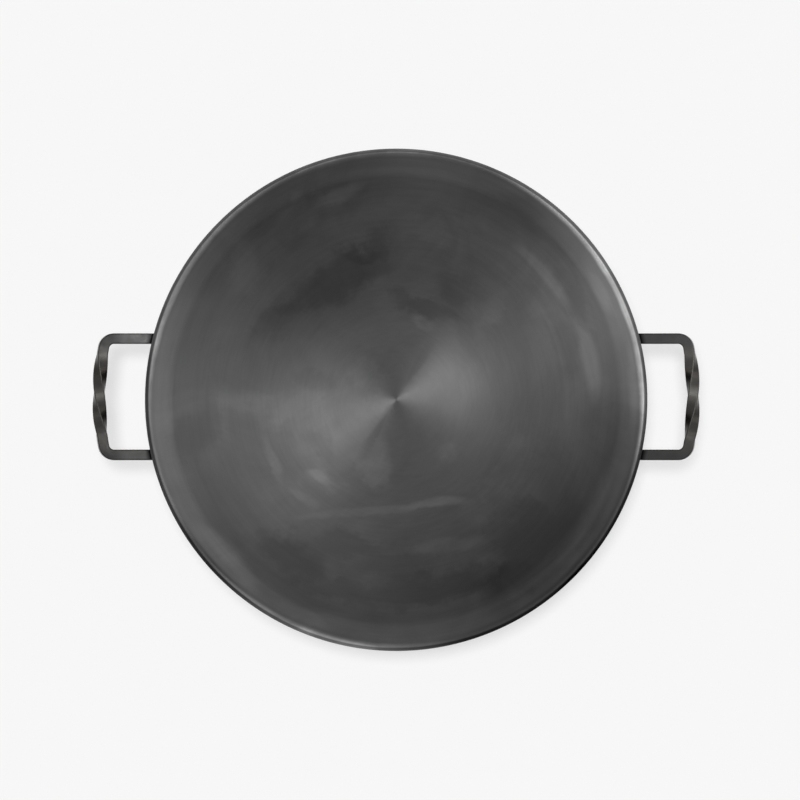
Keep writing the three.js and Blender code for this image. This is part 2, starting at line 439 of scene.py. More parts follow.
def cut_arm(loop, arm_y, side):
    """Cut one arm off along the wall, and return a copy of the cut face as its own mesh."""
    point, facing = wall_plane(arm_y, side)
    back_half = arm_y > HANDLE_OFFSET

    def in_this_half(face):
        return (face.calc_center_median().y > HANDLE_OFFSET * MM) == back_half

    def is_cut(face):
        lies_in_cut = abs(face.normal.dot(facing)) > IN_THE_CUT
        return lies_in_cut and face.calc_area() > SMALLEST_CUT * MM**2

    open_for_editing(loop, "FACE")
    pick(loop, "faces", in_this_half)
    bpy.ops.mesh.bisect(plane_co=point, plane_no=facing, use_fill=True, clear_inner=True)
    bpy.ops.mesh.select_all(action="DESELECT")
    pick(loop, "faces", is_cut)
    bpy.ops.mesh.duplicate()
    bpy.ops.mesh.separate(type="SELECTED")
    select_nothing()
    return next(o for o in bpy.context.scene.objects if o.name.startswith(loop.name + "."))


# %% [markdown]
# ## Laying the weld beads
#
# The copy of the cut face loses its face and becomes a curve, and a round bevel on that curve is the
# bead. The bevel folds into itself at the corners of the bar, so a voxel remesh melts the ring into one
# clean skin before it is cut flat against the wall.

# %% Lay a bead round each arm
WELD_RADIUS = 3
BEAD_ROUNDNESS = 4
BEAD_STEP = 1.1
BEAD_SINK = 1
BEAD_GRAIN = 0.45
SAME_PLACE = 0.01
ENDS = {"front": -1, "back": 1}


def bead_ring(outline, name):
    """Turn a cut face into a closed ring of weld metal round its outline."""
    open_for_editing(outline)
    bpy.ops.mesh.select_all(action="SELECT")
    bpy.ops.mesh.delete(type="ONLY_FACE")
    pick(outline, "edges", lambda edge: edge.calc_length() > 2 * BEAD_STEP * MM)
    bpy.ops.mesh.subdivide(number_cuts=round(BAR / BEAD_STEP))
    select_only(outline)
    bpy.ops.object.convert(target="CURVE")
    outline.data.bevel_depth = WELD_RADIUS * MM
    outline.data.bevel_resolution = BEAD_ROUNDNESS
    bpy.ops.object.convert(target="MESH")
    bead = bpy.context.object
    bead.name = name
    merge_close_points(bead)
    bpy.ops.mesh.normals_make_consistent(inside=False)
    apply_modifier(bead, "REMESH", mode="VOXEL", voxel_size=BEAD_GRAIN * MM)
    return bead


def merge_close_points(bead):
    """Open a bead for editing and make one point of those in the same place."""
    open_for_editing(bead, "FACE")
    bpy.ops.mesh.select_all(action="SELECT")
    bpy.ops.mesh.remove_doubles(threshold=SAME_PLACE * MM)


def lay_on_wall(bead, point, facing):
    """Cut a bead flat where it lies on the wall."""
    open_for_editing(bead, "FACE")
    bpy.ops.mesh.select_all(action="SELECT")
    sunk = point - facing * BEAD_SINK * MM
    bpy.ops.mesh.bisect(plane_co=sunk, plane_no=facing, use_fill=True, clear_inner=True)
    merge_close_points(bead)
    select_only(bead)
    bpy.ops.object.shade_smooth_by_angle(angle=SMOOTH_BELOW)
    tell(bead)


beads = {}
for side_name, loop in loops.items():
    side = math.cos(LOOPS[side_name]["facing"])
    for end_name, end in ENDS.items():
        arm_y = HANDLE_OFFSET + end * arm_offset
        name = f"{side_name}_{end_name}_bead"
        beads[name] = bead_ring(cut_arm(loop, arm_y, side), name)
        lay_on_wall(beads[name], *wall_plane(arm_y, side))
    select_only(loop)
    bpy.ops.object.shade_smooth_by_angle(angle=SMOOTH_BELOW)
    apply_modifier(loop, "WEIGHTED_NORMAL", keep_sharp=True)

# %% [markdown]
# ## Finishes from nodes
#
# A small helper adds a node, sets it and wires it in one line, so that a finish reads as a list of
# what feeds what. Shorter helpers are built on it, for sums, mixes, ranges and noise.

# %% Add a node, and work with values
USUAL_NOISE = (0.3, 0.7)


def new_finish(name):
    """A new material, its node tree and its shader."""
    finish = bpy.data.materials.new(name)
    finish.use_nodes = True
    return finish, finish.node_tree, finish.node_tree.nodes["Principled BSDF"]


def node(tree, kind, inputs, **settings):
    """Add a node. Each input is a plain value, or the socket that feeds it."""
    made = tree.nodes.new("ShaderNode" + kind)
    for name, value in settings.items():
        setattr(made, name, value)
    for name, value in inputs.items():
        if isinstance(value, bpy.types.NodeSocket):
            tree.links.new(value, made.inputs[name])
        else:
            made.inputs[name].default_value = value
    return made


def maths(tree, operation, a, b):
    return node(tree, "Math", {0: a, 1: b}, operation=operation).outputs[0]


def multiply_all(tree, tone, changes):
    """A tone multiplied by one change after the other."""
    for change in changes:
        tone = maths(tree, "MULTIPLY", tone, change)
    return tone


def mixed(tree, share, first, second):
    """The first value where the share is 0, and the second where it is 1."""
    return node(tree, "Mix", {0: share, 2: first, 3: second}).outputs[0]


def spread(tree, value, low, high, to_low, to_high):
    """Stretch the part of a value between low and high over another range, and clamp it there."""
    inputs = {"Value": value, 1: low, 2: high, 3: to_low, 4: to_high}
    return node(tree, "MapRange", inputs).outputs["Result"]


def along(tree, length, start, end, to_start, to_end):
    """As spread, for a length whose start and end are given in millimetres."""
    return spread(tree, length, start * MM, end * MM, to_start, to_end)


def noise(tree, place, scale, detail=4, roughness=0.55):
    inputs = {"Vector": place, "Scale": scale, "Detail": detail, "Roughness": roughness}
    return node(tree, "TexNoise", inputs).outputs["Fac"]


def vary(tree, grain, low, high):
    """Stretch the usual range of a noise over another range."""
    return spread(tree, grain, *USUAL_NOISE, low, high)


# %% [markdown]
# The finishes also share a few steps of geometry and wiring: the length of a vector, how far two
# directions agree, a place without its height, and the three sockets that every shader here is fed
# through.

# %% Measure places and wire a shader
def length_of(tree, vector):
    return node(tree, "VectorMath", {0: vector}, operation="LENGTH").outputs["Value"]


def dot(tree, a, b):
    """1 where two directions agree, 0 where they are square to each other."""
    return node(tree, "VectorMath", {0: a, 1: b}, operation="DOT_PRODUCT").outputs["Value"]


def flattened(tree, place):
    """A place with its height left out."""
    return node(tree, "VectorMath", {0: place, 1: (1, 1, 0)}, operation="MULTIPLY").outputs[0]


def grey(tree, tone):
    return node(tree, "CombineColor", {0: tone, 1: tone, 2: tone}).outputs[0]


def relief(tree, height, strength, depth):
    """Normals of a fine relief, whose depth is in millimetres."""
    inputs = {"Strength": strength, "Distance": depth * MM, "Height": height}
    return node(tree, "Bump", inputs).outputs[0]


def wire(tree, shader, colour, gloss, normals):
    """Feed a shader's colour, roughness and normals."""
    tree.links.new(colour, shader.inputs["Base Color"])
    tree.links.new(gloss, shader.inputs["Roughness"])
    tree.links.new(normals, shader.inputs["Normal"])


def tell_finish(finish):
    """Print the number of nodes in a finish."""
    print(f"{finish.name}: {len(finish.node_tree.nodes)} nodes")


# %% [markdown]
# ## Stains of use
#
# A wok is wiped out with an oily cloth, so its seasoning is uneven: broad dark smudges where oil has
# baked on, and paler places and streaks where the cloth has rubbed. Noise alone would put such marks
# anywhere, so each has its own line here, with its place and size, and is drawn as a soft oval.

# %% List the smudges and streaks
# Middle in x and y, half length and half width, turn in degrees, and change of tone.
SMUDGES = {
    "baked oil, back left": ((-43, 94), (58, 22), 25, -0.33),
    "baked oil, back": ((-22, 119), (28, 9), 20, -0.22),
    "baked oil, back right": ((46, 89), (25, 20), -20, -0.2),
    "baked oil, right front": ((106, -111), (66, 36), 40, -0.26),
    "baked oil, near the right front": ((103, -77), (15, 12), 0, -0.13),
    "baked oil, left front": ((-79, -120), (36, 16), -30, -0.3),
    "baked oil, front": ((38, -141), (80, 17), 8, -0.28),
    "baked oil, front rim": ((-48, -146), (30, 10), -10, -0.15),
    "baked oil, left": ((-158, -24), (30, 15), 98, -0.16),
    "baked oil, right": ((137, 72), (37, 10), 118, -0.15),
    "baked oil, right of the middle": ((131, 37), (26, 9), 105, -0.12),
    "baked oil, broad, back left": ((-66, 68), (66, 32), 20, -0.11),
    "baked oil, beside the right fan": ((50, 60), (40, 16), 105, -0.13),
    "baked oil, middle of the front": ((3, -129), (42, 13), 0, -0.13),
    "baked oil, right of the front rim": ((77, -155), (20, 14), 40, -0.15),
    "baked oil, left wall": ((-143, -12), (27, 11), 90, -0.13),
    "rubbed, back right": ((99, 107), (40, 24), -45, 0.13),
    "rubbed, right of the back rim": ((60, 137), (30, 11), -25, 0.11),
    "rubbed, inside the right front": ((71, -76), (24, 28), 0, 0.1),
    "rubbed, near the right front rim": ((69, -127), (17, 13), 20, 0.2),
    "rubbed, behind the middle": ((-20, 18), (16, 11), -40, 0.13),
    "rubbed, before the middle": ((-24, -37), (20, 11), 20, 0.14),
    "rubbed, front": ((-18, -53), (16, 18), 20, 0.3),
    "rubbed, right of the front": ((41, -37), (16, 11), 30, 0.26),
    "rubbed, left of the front": ((-57, -65), (24, 11), -15, 0.15),
    "rubbed, left": ((-104, -4), (38, 18), 0, 0.13),
    "rubbed, back": ((34, 125), (48, 14), -10, 0.14),
    "baked oil, middle of the back": ((20, 72), (34, 12), -15, -0.27),
    "baked oil, left of the back": ((-84, 63), (32, 18), 40, -0.16),
    "baked oil, left of the middle": ((-60, 15), (24, 13), 0, -0.13),
    "baked oil, left of the fan": ((-58, -37), (22, 10), -40, -0.12),
    "baked oil, left of the front": ((-40, -112), (38, 12), -5, -0.17),
    "rubbed, back left": ((-28, 138), (52, 13), 10, 0.15),
    "rubbed, left of the back": ((-110, 107), (36, 16), 55, 0.13),
    "rubbed, back left rim": ((-73, 143), (34, 15), 30, 0.25),
    "rubbed, right of the back": ((78, 70), (12, 18), 20, 0.15),
    "rubbed, right front": ((92, -46), (18, 34), -25, 0.12),
}
STREAKS = {
    "cloth, front": ((30, -79), (32, 5), 7, 0.32),
    "cloth, across the front": ((-22, -86), (70, 4.5), 6, 0.17),
    "cloth, left front": ((-95, -46), (23, 5), -65, 0.32),
    "cloth, back left": ((-42, 157), (24, 7), 24, 0.34),
    "cloth, left rim": ((-128, -118), (42, 9), -48, 0.3),
    "cloth, front rim": ((-73, -163), (32, 7), -25, 0.25),
    "cloth, back rim": ((96, 148), (24, 8), -33, -0.17),
    "cloth, behind the middle": ((20, 60), (13, 6), -30, 0.28),
    "cloth, right of the front": ((38, -112), (42, 7), 8, 0.2),
    "cloth, left of the front": ((-71, -76), (17, 5), -35, 0.12),
    "cloth, left of the rubbed front": ((-60, -60), (13, 5), -33, 0.28),
}
print(f"{len(SMUDGES)} smudges and {len(STREAKS)} streaks")

# %% [markdown]
# Other marks follow the turned rings: tide lines and the band below the lip. The rest along the rings
# are painted light: painted highlights on the lip and the band, painted light on the top of the outer
# lip, painted shade where the lip is darker, and painted shade beside the sharp sides of the two bright
# fans. Their bearings are counted from the right-hand handle towards the back.

# %% List the marks along the rings
# Bearing in degrees and radius, half angle and half width, and change of tone.
RING_MARKS = {
    "tide line, right": ((14, 131), (30, 2.5), 0.07),
    "cloth, back right": ((40, 149), (16, 6), 0.42),
    "cloth, right": ((12, 151), (15, 8), 0.33),
    "cloth, right rim": ((28, 175), (7, 6), 0.25),
    "rings, left": ((186, 137), (26, 8), 0.1),
    # Painted highlight on the crease at the foot of the band.
    "painted highlight on the crease, right front": ((-42, 170), (28, 8), 0.22),
    "band, back": ((88, 181), (26, 7), -0.13),
    # Painted shade beside the sharp sides of the two bright fans on the base.
    "painted shade beside the fan, back right": ((58, 32), (8, 26), -0.12),
    "painted shade beside the fan, left front": ((238, 32), (8, 26), -0.15),
    # Painted highlights on the inside and top of the lip, and on the band just below it.
    "painted highlight on the lip, right": ((24, 186.8), (46, 4), 2.1),
    "painted highlight on the band, right": ((3, 181), (13, 6), 0.25),
    "painted highlight on the lip, back left": ((152, 186.5), (36, 3.6), 1.2),
    "painted highlight on the lip, front": ((252, 187), (34, 3.6), 1.0),
    "painted highlight on the lip, back": ((105, 187), (40, 4), 0.35),
    "painted crest highlight, front": ((255, 188.3), (15, 3.4), 3),
    # Painted shade on the lip, where it shows no highlight.
    "painted shade on the lip, right front": ((-47, 188), (46, 6), -0.35),
    "painted shade on the lip, left front": ((222, 187.5), (20, 4.5), -0.5),
    # Painted light on the top of the outer lip, on the sides that face the light.
    "painted light on the outer lip, back": ((100, 190.4), (95, 4), 3.4),
    "painted light on the outer lip, front": ((255, 190.6), (36, 4), 2.1),
    # Painted shade on the outer lip on the side away from the light.
    "painted shade on the outer lip, right front": ((-45, 191), (45, 4), -0.6),
}
print(f"{len(RING_MARKS)} marks along the rings")

# %% [markdown]
# A Mapping node moves and turns the coordinates so that an oval becomes a unit circle round the origin,
# and the distance from there fades the stain out. Shaking the coordinates with noise first makes the
# edges ragged, more for the smudges and less for the streaks. A mark along the rings is the same oval
# on coordinates that are unrolled into bearing and radius.

# %% Draw the stains
SMUDGE_SHAKE = 50
STREAK_SHAKE = 12
RING_SHAKE = 3
SHAKE_GRAIN = {"Scale": 28, "Detail": 5, "Roughness": 0.6}
NOISE_MIDDLE = (0.5, 0.5, 0.5)
STAIN_CORE = 0.35
STAIN_EDGE = 1.05
PATCHY_NOISE = (0.35, 0.65)
PATCHY_STRENGTH = (0.6, 1.3)


def shaken(tree, place, amount):
    """Coordinates shifted to and fro by a ragged noise."""
    colour = node(tree, "TexNoise", {"Vector": place, **SHAKE_GRAIN}).outputs["Color"]
    centred = node(tree, "VectorMath", {0: colour, 1: NOISE_MIDDLE}, operation="SUBTRACT").outputs[0]
    inputs = {0: centred, 1: (amount * MM, amount * MM, 0), 2: place}
    return node(tree, "VectorMath", inputs, operation="MULTIPLY_ADD").outputs[0]


def stain(tree, place, middle, reach, turn, change):
    """One soft oval stain: its change of tone in the middle, nothing outside."""
    inputs = {"Vector": place, "Location": (*middle, 0), "Rotation": (0, 0, turn), "Scale": (*reach, 1)}
    moved = node(tree, "Mapping", inputs, vector_type="TEXTURE").outputs[0]
    far = length_of(tree, moved)
    inputs = {"Value": far, 1: STAIN_CORE, 2: STAIN_EDGE, 3: change, 4: 0.0}
    return node(tree, "MapRange", inputs, interpolation_type="SMOOTHSTEP").outputs["Result"]


def oval_stains(tree, flat):
    """The smudges and streaks together, as one change of tone."""
    total = 0.0
    for stains, amount in ((SMUDGES, SMUDGE_SHAKE), (STREAKS, STREAK_SHAKE)):
        place = shaken(tree, flat, amount)
        for (x, y), (length, width), turn, change in stains.values():
            middle = (x * MM, y * MM)
            reach = (length * MM, width * MM)
            oval = stain(tree, place, middle, reach, math.radians(turn), change)
            total = maths(tree, "ADD", oval, total)
    return total


def ring_stains_and_painted_light(tree, flat):
    """The marks that follow the rings together, stains and painted light and shade, as one change of
    tone.
    """
    place = shaken(tree, flat, RING_SHAKE)
    axes = node(tree, "SeparateXYZ", {0: place}).outputs
    angle = maths(tree, "ARCTAN2", axes["Y"], axes["X"])
    radius = length_of(tree, place)
    total = 0.0
    for (bearing, middle), (half_angle, width), change in RING_MARKS.values():
        away = maths(tree, "SUBTRACT", angle, math.radians(bearing))
        away = node(tree, "Math", {0: away, 1: math.pi, 2: -math.pi}, operation="WRAP").outputs[0]
        unrolled = node(tree, "CombineXYZ", {"X": away, "Y": radius}).outputs[0]
        reach = (math.radians(half_angle), width * MM)
        mark = stain(tree, unrolled, (0, middle * MM), reach, 0, change)
        total = maths(tree, "ADD", mark, total)
    return total


def stained(tree, stains, cloth):
    """The tone of the seasoning relative to a clean surface. Marks of the cloth break the stains up."""
    patchy = spread(tree, cloth, *PATCHY_NOISE, *PATCHY_STRENGTH)
    return maths(tree, "ADD", maths(tree, "MULTIPLY", stains, patchy), 1.0)


# %% [markdown]
# ## Seasoned iron, turned on a lathe
#
# The tool leaves rings round the axis, and metal with fine rings shows light as a bow tie: two bright
# fans that meet at the centre. That is anisotropy. The Tangent node gives the direction round the
# axis, and a quarter turn of Anisotropic Rotation lays the long side of each highlight across the
# rings. The middle is painted a little brighter, a painted highlight where the base mirrors the light
# overhead. The lip carries painted highlights and painted shade, and the outside, which sits in the
# flame, is duller and darker than the inside.

# %% Tell the outside from the inside, and draw noise along the rings
OUTSIDE_FACING = (0.02, 0.3)


def on_outside(tree, bearing):
    """1 on the outside and underneath, 0 inside."""
    facing = node(tree, "NewGeometry", {}).outputs["Normal"]
    out = dot(tree, facing, bearing)
    down = dot(tree, facing, (0, 0, -1))
    return spread(tree, maths(tree, "MAXIMUM", out, down), *OUTSIDE_FACING, 0.0, 1.0)


def ring_noise(tree, bearing, radius, around, across):
    """Noise that is drawn out along the rings."""
    depth = node(tree, "CombineXYZ", {"Z": maths(tree, "MULTIPLY", radius, across)}).outputs[0]
    inputs = {0: bearing, 1: (around, around, around), 2: depth}
    place = node(tree, "VectorMath", inputs, operation="MULTIPLY_ADD").outputs[0]
    return noise(tree, place, 1.0)


# %% [markdown]
# The tone starts from a clean grey and is multiplied by one change after the other: the stains, with
# the painted highlights and painted shade along the rings, the marks of the cloth, the rings, the
# painted highlight in the middle and the top of the lip. Outside, soot covers all of it but the marks
# along the rings, which bring the painted light and shade of the outer lip. A fine relief of rings, a
# twentieth of a millimetre deep, breaks up the reflections.

# %% Make the dish's finish
CLEAN_TONE = 0.1
OUTSIDE_TONE = 0.035
OUTSIDE_ROUGHNESS = 0.5
CLOTH_GRAIN = {"Scale": 11, "Detail": 7, "Roughness": 0.6, "Distortion": 1.5}
CLOTH_TONES = (0.88, 1.12)
WIPED_RINGS = {"around": 1.5, "across": 90}
FINE_RINGS = {"around": 4, "across": 420}
RING_TONES = (0.96, 1.04)
IRON_GLOSS = (0.33, 0.37)
TURNED_GRAIN = {"Scale": 900, "Detail": 3}
TURNED_STRENGTH = 0.15
TURNED_DEPTH = 0.05
QUARTER_TURN = 0.25
# From one place to another in millimetres, and the change of tone at each.
# Painted highlight: the middle is painted brighter, where the base mirrors the light overhead.
PAINTED_HIGHLIGHT_IN_MIDDLE = (0, 70, 1.15, 1.0)
TOP_OF_LIP = (93.5, 96.5, 1.0, 0.9)


def seasoned_iron():
    finish, tree, shader = new_finish("seasoned_iron")
    place = node(tree, "TexCoord", {}).outputs["Object"]
    height = node(tree, "SeparateXYZ", {0: place}).outputs["Z"]
    flat = flattened(tree, place)
    radius = length_of(tree, flat)
    bearing = node(tree, "VectorMath", {0: flat}, operation="NORMALIZE").outputs[0]
    wiped = ring_noise(tree, bearing, radius, **WIPED_RINGS)
    lines = ring_noise(tree, bearing, radius, **FINE_RINGS)
    cloth = node(tree, "TexNoise", {"Vector": flat, **CLOTH_GRAIN}).outputs["Fac"]
    turned = node(tree, "TexNoise", {"W": radius, **TURNED_GRAIN}, noise_dimensions="1D").outputs["Fac"]

    # The marks along the rings include painted highlights and painted shade on the lip and beside the
    # fans.
    rings = ring_stains_and_painted_light(tree, flat)
    stains = maths(tree, "ADD", oval_stains(tree, flat), rings)
    changes = (
        stained(tree, stains, cloth),
        vary(tree, cloth, *CLOTH_TONES),
        vary(tree, wiped, *RING_TONES),
        vary(tree, lines, *RING_TONES),
        along(tree, radius, *PAINTED_HIGHLIGHT_IN_MIDDLE),
        along(tree, height, *TOP_OF_LIP),
    )
    clean = multiply_all(tree, CLEAN_TONE, changes)
    # Outside, the soot tone keeps the marks along the rings, with the painted light and shade on the
    # outer lip.
    sooty = maths(tree, "MULTIPLY", stained(tree, rings, cloth), OUTSIDE_TONE)
    is_outside = on_outside(tree, bearing)
    colour = grey(tree, mixed(tree, is_outside, clean, sooty))
    gloss = mixed(tree, is_outside, vary(tree, wiped, *IRON_GLOSS), OUTSIDE_ROUGHNESS)
    wire(tree, shader, colour, gloss, relief(tree, turned, TURNED_STRENGTH, TURNED_DEPTH))

    round_axis = node(tree, "Tangent", {}, direction_type="RADIAL", axis="Z")
    tree.links.new(round_axis.outputs[0], shader.inputs["Tangent"])
    shader.inputs["Metallic"].default_value = 1.0
    shader.inputs["Anisotropic"].default_value = 1.0
    shader.inputs["Anisotropic Rotation"].default_value = QUARTER_TURN
    return finish


iron = seasoned_iron()
tell_finish(iron)

# %% [markdown]
# ## Blackened bar
#
# The bars were blackened hot. Their faces that look up are painted paler and their steep faces darker,
# as painted light from above and painted shade on the sides. The arrises are worn paler and carry a
# painted highlight. Pointiness knows where a mesh is convex, and finds the arrises. The steep faces, and
# the grips in part, are brownish. The tone also changes from place to place: it is darkest just outside
# the lip, a painted shade under the lip's edge, darker at the front than at the back, and not the same
# on arms and grips, or on left and right.

# %% Make the bars' finish
BAR_GRAIN = {"scale": 260, "detail": 5}
BAR_CLOUDS = {"scale": 40, "detail": 3}
# Painted light and shade: faces that look up take the paler tones, steep faces the darker ones.
FACES_UP_FOR_PAINTED_LIGHT = (0.78, 0.98)
STEEP_FACE_PAINTED_SHADE_TONES = (0.015, 0.027)
UPWARD_FACE_PAINTED_LIGHT_TONES = (0.055, 0.075)
# Worn arrises, paler, with a painted highlight along them.
WORN_ARRISES_AND_HIGHLIGHT = (0.53, 0.6, 0.0, 0.1)
# From one place to another in millimetres, and the share of the tone at each.
# Painted shade: the bars are darkest where they pass under the lip's edge.
PAINTED_SHADE_UNDER_LIP = (191.2, 194.5, 0.1, 1.0)
ENDS_OF_GRIP = (34, 42, 1.0, 0.0)
ARMS_LEFT_TO_RIGHT = (-190, 190, 0.8, 0.64)
LEFT_BENDS = (-213, -204, 0.55, 1.0)
GRIPS_LEFT_TO_RIGHT = (-220, 220, 0.95, 1.18)
GRIPS_FROM_FRONT = (-30, 0, 0.72, 0.92)
LOOPS_FROM_FRONT = (-45, 45, 0.8, 1.1)


def shares_by_place(tree, place, on_grip):
    """The shares of its tone that a loop keeps from place to place."""
    axes = node(tree, "SeparateXYZ", {0: place}).outputs
    radius = length_of(tree, flattened(tree, place))
    arms = along(tree, axes["X"], *ARMS_LEFT_TO_RIGHT)
    arms = maths(tree, "MULTIPLY", arms, along(tree, axes["X"], *LEFT_BENDS))
    grips = along(tree, axes["Y"], *GRIPS_FROM_FRONT)
    grips = maths(tree, "MULTIPLY", grips, along(tree, axes["X"], *GRIPS_LEFT_TO_RIGHT))
    return (
        along(tree, radius, *PAINTED_SHADE_UNDER_LIP),
        mixed(tree, on_grip, arms, grips),
        along(tree, axes["Y"], *LOOPS_FROM_FRONT),
    )


# %% [markdown]
# Rust is brown because it takes more from blue than from green, and least from red. So the colour keeps
# the tone as its red, and the other two fall with the rust.

# %% Colour the bars
RUST_ON_GRIP = 0.5
RUST_GREEN = (1.0, 0.9)
RUST_BLUE = (0.99, 0.78)
BAR_GLOSS = (0.27, 0.37)
BAR_RELIEF = {"strength": 0.2, "depth": 0.1}
BAR_METALLIC = 0.9


def rusted(tree, tone, rust):
    """A tone as a colour that turns from grey to brown with the rust."""
    green = maths(tree, "MULTIPLY", tone, spread(tree, rust, 0.0, 1.0, *RUST_GREEN))
    blue = maths(tree, "MULTIPLY", tone, spread(tree, rust, 0.0, 1.0, *RUST_BLUE))
    return node(tree, "CombineColor", {0: tone, 1: green, 2: blue}).outputs[0]


def blackened_bar():
    finish, tree, shader = new_finish("blackened_bar")
    place = node(tree, "TexCoord", {}).outputs["Object"]
    surface = node(tree, "NewGeometry", {}).outputs
    up = node(tree, "SeparateXYZ", {0: surface["Normal"]}).outputs["Z"]
    along_grip = node(tree, "SeparateXYZ", {0: place}).outputs["Y"]
    on_grip = along(tree, maths(tree, "ABSOLUTE", along_grip, 0.0), *ENDS_OF_GRIP)
    grain = noise(tree, place, **BAR_GRAIN)
    clouds = noise(tree, place, **BAR_CLOUDS)

    # Painted light on the faces that look up, painted shade on the steep faces.
    faces_up_painted_light = spread(tree, up, *FACES_UP_FOR_PAINTED_LIGHT, 0.0, 1.0)
    tone = mixed(tree, faces_up_painted_light, vary(tree, clouds, *STEEP_FACE_PAINTED_SHADE_TONES), vary(tree, clouds, *UPWARD_FACE_PAINTED_LIGHT_TONES))
    # Worn arrises with a painted highlight, found by Pointiness.
    tone = maths(tree, "ADD", tone, spread(tree, surface["Pointiness"], *WORN_ARRISES_AND_HIGHLIGHT))
    tone = multiply_all(tree, tone, shares_by_place(tree, place, on_grip))
    # The brown follows the steep faces that are painted darker, and lies half as strong on the grips.
    steep_faces_painted_shade = maths(tree, "SUBTRACT", 1.0, faces_up_painted_light)
    rust = maths(tree, "MAXIMUM", steep_faces_painted_shade, maths(tree, "MULTIPLY", on_grip, RUST_ON_GRIP))
    gloss = vary(tree, grain, *BAR_GLOSS)
    wire(tree, shader, rusted(tree, tone, rust), gloss, relief(tree, grain, **BAR_RELIEF))
    shader.inputs["Metallic"].default_value = BAR_METALLIC
    return finish


bar_black = blackened_bar()
tell_finish(bar_black)

# %% [markdown]
# ## Weld metal
#
# The beads were left as they cooled, dull and rough. One noise gives their tone, their roughness and
# their relief, so that the raised places are also the paler and the rougher ones.

# %% Make the beads' finish
WELD_GRAIN = 400
WELD_TONES = (0.03, 0.07)
WELD_GLOSS = (0.45, 0.65)
WELD_RELIEF = {"strength": 0.3, "depth": 0.3}
WELD_METALLIC = 0.8


def weld_metal():
    finish, tree, shader = new_finish("weld_metal")
    place = node(tree, "TexCoord", {}).outputs["Object"]
    grain = noise(tree, place, WELD_GRAIN)
    colour = grey(tree, vary(tree, grain, *WELD_TONES))
    wire(tree, shader, colour, vary(tree, grain, *WELD_GLOSS), relief(tree, grain, **WELD_RELIEF))
    shader.inputs["Metallic"].default_value = WELD_METALLIC
    return finish


bead_black = weld_metal()
tell_finish(bead_black)

# %% [markdown]
# ## Dressing the frame
#
# Each finished piece takes the place of one CAD node. Nothing on a wok moves, so all of them ride on
# the root.

# %% Put each piece on the frame
def dress(piece, finish, replaced):
    """Give a piece its finish, set it on what it rides on, and hide the CAD node that it stands for."""
    piece.data.materials.clear()
    piece.data.materials.append(finish)
    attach(piece, "root")
    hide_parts(replaced)


dress(dish, iron, "bowl")
for side_name, loop in loops.items():
    dress(loop, bar_black, f"{side_name}_handle")
for name, bead in beads.items():
    dress(bead, bead_black, name.replace("bead", "weld"))
print(f"{1 + len(loops) + len(beads)} pieces dressed")

# %% [markdown]
# ## Floor, light and camera
#
# The wok stands on a plain pale floor. The floor glows for the camera and for reflections, so it stays
# evenly pale, and its matt part only has to carry the shadow. It lies a hair below the base of the wok,
# because two faces in one place would be drawn in patches.

# %% Floor
FLOOR_SIZE = 40  # metres
FLOOR_DROP = 0.1
FLOOR_GLOW = 0.63
FLOOR_MATT = (0.3, 0.3, 0.3, 1)
WHITE = (1, 1, 1, 1)


def seen_directly(tree):
    """1 for rays from the camera and for those seen in metal or glass, 0 for light on other things."""
    rays = node(tree, "LightPath", {}).outputs
    seen = maths(tree, "MAXIMUM", rays["Is Camera Ray"], rays["Is Glossy Ray"])
    return maths(tree, "MAXIMUM", seen, rays["Is Transmission Ray"])


def pale_floor():
    finish, tree, shader = new_finish("pale_floor")
    strength = maths(tree, "MULTIPLY", seen_directly(tree), FLOOR_GLOW)
    glow = node(tree, "Emission", {"Color": WHITE, "Strength": strength})
    matt = node(tree, "BsdfDiffuse", {"Color": FLOOR_MATT})
    both = node(tree, "AddShader", {0: glow.outputs[0], 1: matt.outputs[0]})
    tree.links.new(both.outputs[0], tree.nodes["Material Output"].inputs["Surface"])
    tree.nodes.remove(shader)
    return finish


select_nothing()
bpy.ops.mesh.primitive_plane_add(size=FLOOR_SIZE)
floor = bpy.context.object
floor.name = "floor"
floor.location.z = -FLOOR_DROP * MM
floor.data.materials.append(pale_floor())
print(f"floor: {FLOOR_SIZE} m square, {FLOOR_DROP} mm below the base")

# %% [markdown]
# Dark metal is a mirror for the room around it. Here the room is one world shader: a grey dome that is
# brighter on some sides, above a low band with bright patches for the walls. The band is what the
# sides of the bars and the far slopes of the dish reflect. The floor gets hardly any of this light, so
# that the shadow keeps its depth.

# %% Studio seen in the metal
DOME_FROM = 0.2
DOME_FULL = 0.4
PATCH_HEIGHT = math.radians(5)
DOME_LEVEL = 0.6
BAND_LEVEL = 0.6
FLOOR_SKY = 0.05
# Bearing in degrees, sharpness and strength.
DOME_SIDES = {"right": (0, 3, 0.6), "back_right": (55, 6, 1.9), "left": (195, 4, 0.95)}
PATCHES = {"right": (0, 8, 4.2), "back": (90, 12, 1.3), "left": (203, 16, 6.7), "front": (262, 25, 1.9)}

world = bpy.data.worlds.new("studio")
bpy.context.scene.world = world
world.use_nodes = True
sky = world.node_tree
toward = node(sky, "TexCoord", {}).outputs["Generated"]


def agreement(bearing, height):
    """The cosine of the angle between a ray and a direction with this bearing and height."""
    turn = math.radians(bearing)
    across = math.cos(height)
    return dot(sky, toward, (math.cos(turn) * across, math.sin(turn) * across, math.sin(height)))


def dome_side(bearing, sharpness):
    """One side of the dome, brightest low down."""
    return maths(sky, "POWER", maths(sky, "MAXIMUM", agreement(bearing, 0), 0.0), sharpness)


def wall_patch(bearing, sharpness):
    """A round patch on the walls that fades out smoothly."""
    off = maths(sky, "SUBTRACT", agreement(bearing, PATCH_HEIGHT), 1.0)
    return maths(sky, "EXPONENT", maths(sky, "MULTIPLY", off, sharpness), 0.0)


